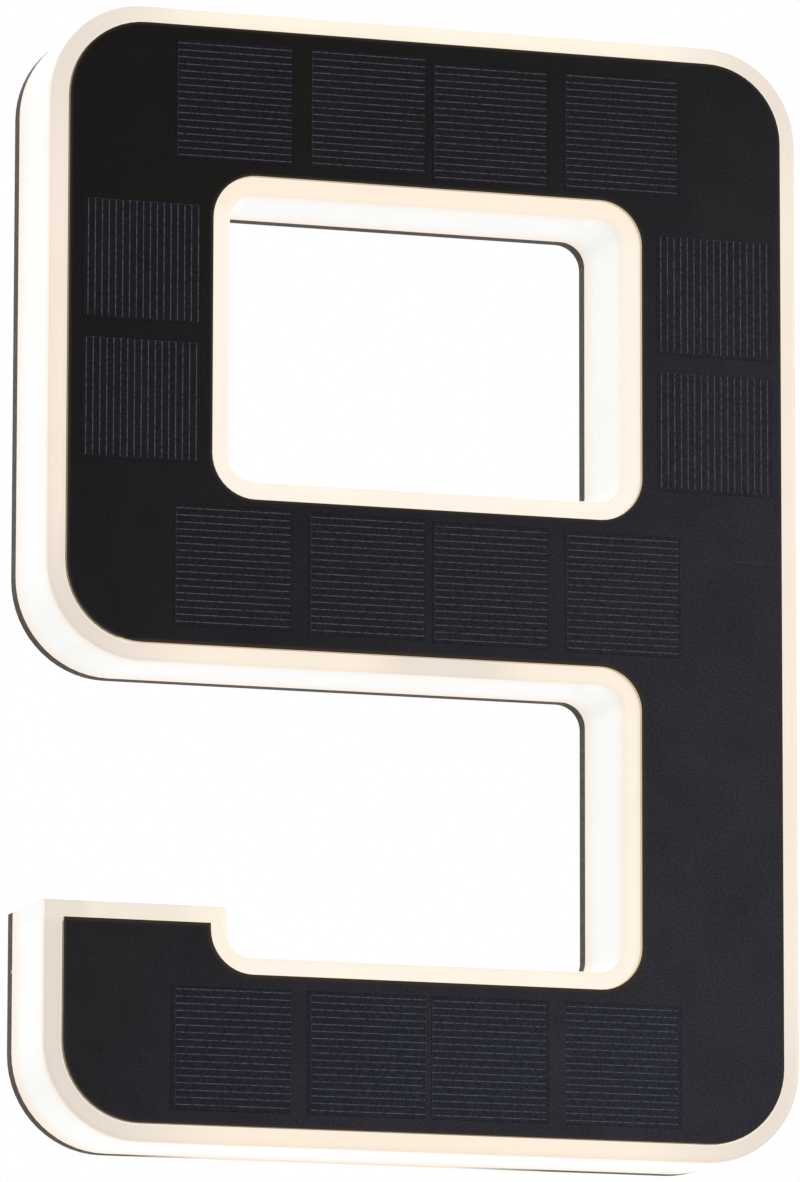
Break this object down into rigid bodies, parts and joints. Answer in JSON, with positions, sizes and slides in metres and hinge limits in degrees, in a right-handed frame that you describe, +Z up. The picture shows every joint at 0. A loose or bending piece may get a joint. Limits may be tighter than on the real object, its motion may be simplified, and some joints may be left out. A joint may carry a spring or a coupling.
{
  "type": "illuminated house number sign",
  "caption": "Solar house number in the shape of the digit nine, with a glowing opal shell, a black solar face and a dark back housing with keyholes.",
  "frame": {"origin": "middle of the digit's width and height on the back face, where it lies against the wall", "axes": "+Y out of the back, into the wall; +Z up the digit; +X to the right as the viewer sees the lit face"},
  "size_m": [0.1382, 0.0245, 0.2],
  "materials": {
    "solar_panel_board": "matte black board",
    "panel_tape": "pale foam tape",
    "diffuser_shell": "opal, satin, lit from inside",
    "back_housing": "fine matte grain",
    "outer_gasket": "soft matte",
    "window_gasket": "soft matte",
    "housing_screws": "zinc plated",
    "led_ring_board": "white solder mask",
    "led_foot_board": "white solder mask",
    "led_chips": "phosphor lens",
    "control_board": "green solder mask",
    "board_screws": "zinc plated",
    "board_link_header": "moulded",
    "controller_ic": "moulded",
    "charge_coil": "ferrite",
    "storage_capacitor": "moulded case",
    "battery_cell": "shrink sleeve",
    "positive_contact": "nickel plated",
    "negative_contact": "nickel plated",
    "battery_cover": "fine matte grain",
    "cover_gasket": "soft matte",
    "cover_screw": "zinc plated",
    "power_button": "soft matte",
    "button_seal": "soft matte",
    "switch_body": "moulded",
    "switch_plunger": "moulded",
    "panel_leads": "insulated wire",
    "lead_grommet": "soft matte",
    "link_leads": "insulated wire",
    "solar_cell": "dark laminated silicon"
  },
  "bodies": {
    "housing": {"solar_panel_board": "solar_panel_board", "panel_tape": "panel_tape", "diffuser_shell": "diffuser_shell", "back_housing": "back_housing", "outer_gasket": "outer_gasket", "window_gasket": "window_gasket", "housing_screws": "housing_screws", "led_ring_board": "led_ring_board", "led_foot_board": "led_foot_board", "led_chips": "led_chips", "control_board": "control_board", "board_screws": "board_screws", "board_link_header": "board_link_header", "controller_ic": "controller_ic", "charge_coil": "charge_coil", "storage_capacitor": "storage_capacitor", "battery_cell": "battery_cell", "positive_contact": "positive_contact", "negative_contact": "negative_contact", "battery_cover": "battery_cover", "cover_gasket": "cover_gasket", "cover_screw": "cover_screw", "button_seal": "button_seal", "switch_body": "switch_body", "panel_leads": "panel_leads", "lead_grommet": "lead_grommet", "link_leads": "link_leads", "solar_cell_01": "solar_cell", "solar_cell_02": "solar_cell", "solar_cell_03": "solar_cell", "solar_cell_04": "solar_cell", "solar_cell_05": "solar_cell", "solar_cell_06": "solar_cell", "solar_cell_07": "solar_cell", "solar_cell_08": "solar_cell", "solar_cell_09": "solar_cell", "solar_cell_10": "solar_cell", "solar_cell_11": "solar_cell", "solar_cell_12": "solar_cell", "solar_cell_13": "solar_cell", "solar_cell_14": "solar_cell", "solar_cell_15": "solar_cell", "solar_cell_16": "solar_cell"},
    "button": {"power_button": "power_button", "switch_plunger": "switch_plunger"}
  },
  "joints": [
    {"name": "power_button_press", "type": "slide", "parent": "housing", "child": "button", "axis": [0, -1, 0], "range_m": [0, 0.001], "stiffness_N_per_m": 400, "springref_m": -0.001}
  ]
}
